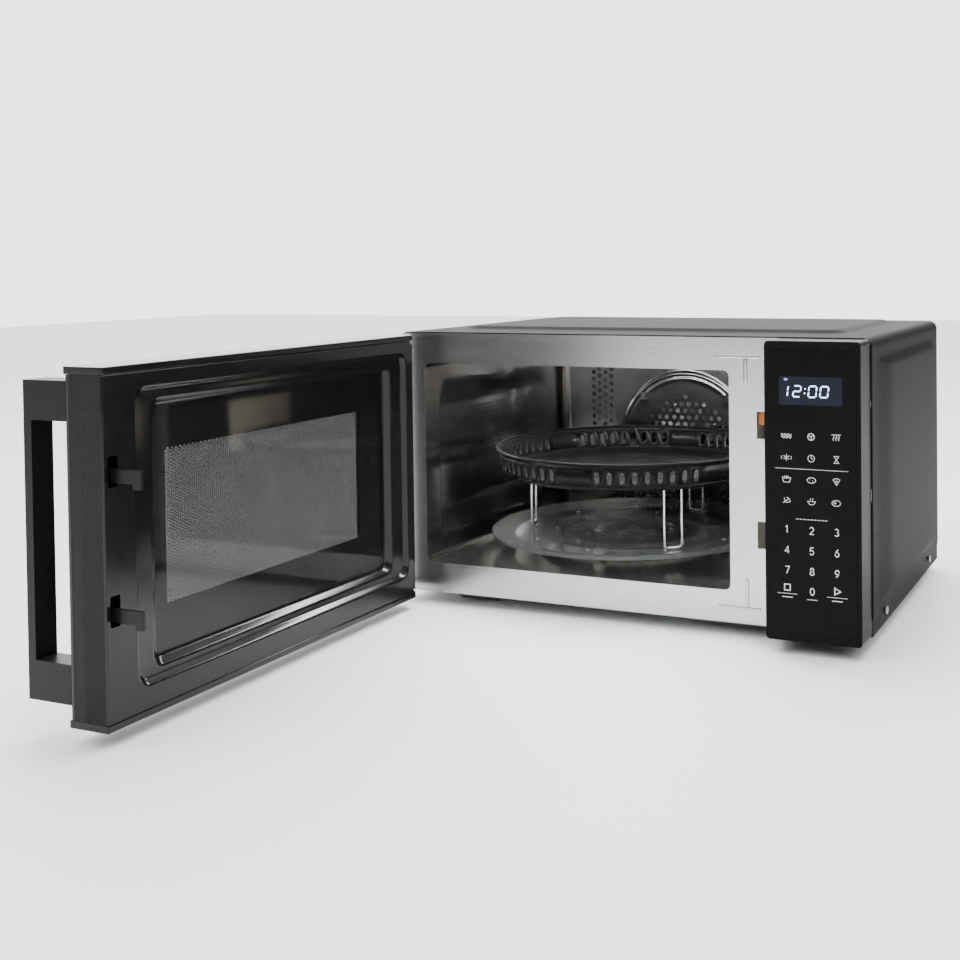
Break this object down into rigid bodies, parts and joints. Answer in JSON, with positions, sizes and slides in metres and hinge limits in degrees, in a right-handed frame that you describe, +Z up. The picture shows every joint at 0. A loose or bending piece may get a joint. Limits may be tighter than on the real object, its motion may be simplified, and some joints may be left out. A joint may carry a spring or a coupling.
{
  "type": "microwave oven",
  "caption": "Countertop convection and grill microwave oven with a side-hinged door, bar handle, touch panel, glass turntable, wire rack and crisper pan.",
  "frame": {"origin": "on the worktop, under the middle of the cabinet between the front plate and the back panel", "axes": "+X to the oven's right as its user sees it, +Y to its back, +Z up"},
  "size_m": [0.564, 0.8385, 0.293],
  "materials": {
    "case_paint": "satin black powder coat",
    "galvanised": "galvanised sheet, matt",
    "front_steel": "brushed, fine horizontal grain",
    "cavity_steel": "bright rolled stainless steel",
    "mica": "pressed mica sheet",
    "heater_tube": "oxidised heater sheath",
    "aluminium": "cast and stamped",
    "motor_steel": "zinc plated",
    "engineering_plastic": "moulded, satin",
    "black_plastic": "moulded, satin",
    "gloss_panel": "high gloss",
    "door_glass": "black printed glass",
    "tray_glass": "clear, textured rim and centre",
    "window_film": "clear sheet",
    "mesh_steel": "dark enamel",
    "chrome_wire": "polished",
    "pan_enamel": "non-stick black",
    "circuit_board": "lacquered",
    "core_iron": "lacquered laminations",
    "switch_plastic": "moulded",
    "lever_plastic": "moulded",
    "lamp_glass": "clear bulb",
    "rubber_foot": "matt",
    "screw_steel": "zinc plated",
    "hinge_steel": "bright zinc plating"
  },
  "bodies": {
    "cabinet": {"outer_case": "case_paint", "back_panel": "galvanised", "rear_cover": "galvanised", "base_plate": "galvanised", "feet": "rubber_foot", "front_plate": "front_steel", "case_screws": "screw_steel", "cavity_floor": "cavity_steel", "cavity_ceiling": "cavity_steel", "cavity_left_wall": "cavity_steel", "cavity_right_wall": "cavity_steel", "cavity_back_wall": "cavity_steel", "waveguide_cover": "mica", "grill_reflector": "galvanised", "grill_heater": "heater_tube", "cavity_lamp": "lamp_glass", "thermal_cutouts": "black_plastic", "convection_housing": "galvanised", "convection_heater": "heater_tube", "convection_motor": "motor_steel", "turntable_motor": "motor_steel", "magnetron": "aluminium", "waveguide": "galvanised", "transformer": "core_iron", "hv_capacitor": "aluminium", "hv_diode": "black_plastic", "fan_shroud": "black_plastic", "cooling_fan_motor": "motor_steel", "noise_filter": "circuit_board", "cord_gland": "black_plastic", "control_housing": "black_plastic", "control_fascia": "gloss_panel", "display_module": "gloss_panel", "control_board": "circuit_board", "latch_housing": "engineering_plastic", "interlock_switches": "switch_plastic", "upper_hinge": "hinge_steel", "lower_hinge": "hinge_steel"},
    "door": {"door_frame": "black_plastic", "door_glass": "door_glass", "door_top_cap": "black_plastic", "door_bottom_cap": "black_plastic", "door_choke_sheet": "mesh_steel", "door_inner_cover": "black_plastic", "door_window_film": "window_film", "door_handle": "black_plastic", "handle_screws": "screw_steel", "latch_spring": "screw_steel"},
    "latch": {"latch_hooks": "black_plastic"},
    "interlock": {"interlock_lever": "lever_plastic"},
    "coupler": {"turntable_coupler": "engineering_plastic"},
    "ring": {"roller_ring": "engineering_plastic"},
    "roller_a": {"roller_front": "engineering_plastic"},
    "roller_b": {"roller_right": "engineering_plastic"},
    "roller_c": {"roller_left": "engineering_plastic"},
    "tray": {"glass_tray": "tray_glass"},
    "rack": {"wire_rack": "chrome_wire"},
    "pan": {"crisper_pan": "pan_enamel"},
    "hot_fan": {"convection_fan": "aluminium"},
    "cool_fan": {"cooling_fan": "black_plastic"}
  },
  "joints": [
    {"name": "door_hinge", "type": "hinge", "parent": "cabinet", "child": "door", "pos_m": [-0.2495, -0.1955, 0.15], "axis": [0, 0, 1], "range_deg": [-9, 90]},
    {"name": "latch_slide", "type": "slide", "parent": "door", "child": "latch", "axis": [0, 0, 1], "range_m": [0, 0.004], "stiffness_N_per_m": 250, "springref_m": -0.006, "deforming": ["latch_spring"]},
    {"name": "interlock_pivot", "type": "hinge", "parent": "cabinet", "child": "interlock", "pos_m": [0.155, -0.1522, 0.232], "axis": [1, 0, 0], "range_deg": [0, 15], "stiffness_Nm_per_rad": 0.02, "springref_deg": -17.19},
    {"name": "coupler_spin", "type": "hinge", "parent": "cabinet", "child": "coupler", "pos_m": [-0.055, -0.0055, 0.043], "axis": [0, 0, 1], "continuous": true},
    {"name": "ring_spin", "type": "hinge", "parent": "cabinet", "child": "ring", "pos_m": [-0.055, -0.0055, 0.0488], "axis": [0, 0, 1], "continuous": true},
    {"name": "roller_a_spin", "type": "hinge", "parent": "ring", "child": "roller_a", "pos_m": [-0.055, -0.1005, 0.0488], "axis": [0, -1, 0], "continuous": true},
    {"name": "roller_b_spin", "type": "hinge", "parent": "ring", "child": "roller_b", "pos_m": [0.02727, 0.042, 0.0488], "axis": [0.866, 0.5, 0], "continuous": true},
    {"name": "roller_c_spin", "type": "hinge", "parent": "ring", "child": "roller_c", "pos_m": [-0.13727, 0.042, 0.0488], "axis": [-0.866, 0.5, 0], "continuous": true},
    {"name": "tray_lift", "type": "slide", "parent": "coupler", "child": "tray", "axis": [0, 0, 1], "range_m": [0, 0.025]},
    {"name": "rack_lift", "type": "slide", "parent": "tray", "child": "rack", "axis": [0, 0, 1], "range_m": [0, 0.025]},
    {"name": "pan_lift", "type": "slide", "parent": "rack", "child": "pan", "axis": [0, 0, 1], "range_m": [0, 0.045]},
    {"name": "hot_fan_spin", "type": "hinge", "parent": "cabinet", "child": "hot_fan", "pos_m": [-0.055, 0.1865, 0.136], "axis": [0, 1, 0], "continuous": true},
    {"name": "cool_fan_spin", "type": "hinge", "parent": "cabinet", "child": "cool_fan", "pos_m": [0.1875, 0.1315, 0.129], "axis": [0, 1, 0], "continuous": true}
  ],
  "couplings": [
    {"joint": "ring_spin", "follows": "coupler_spin", "ratio": 0.5},
    {"joint": "roller_a_spin", "follows": "coupler_spin", "ratio": -8.6364},
    {"joint": "roller_b_spin", "follows": "coupler_spin", "ratio": -8.6364},
    {"joint": "roller_c_spin", "follows": "coupler_spin", "ratio": -8.6364}
  ]
}
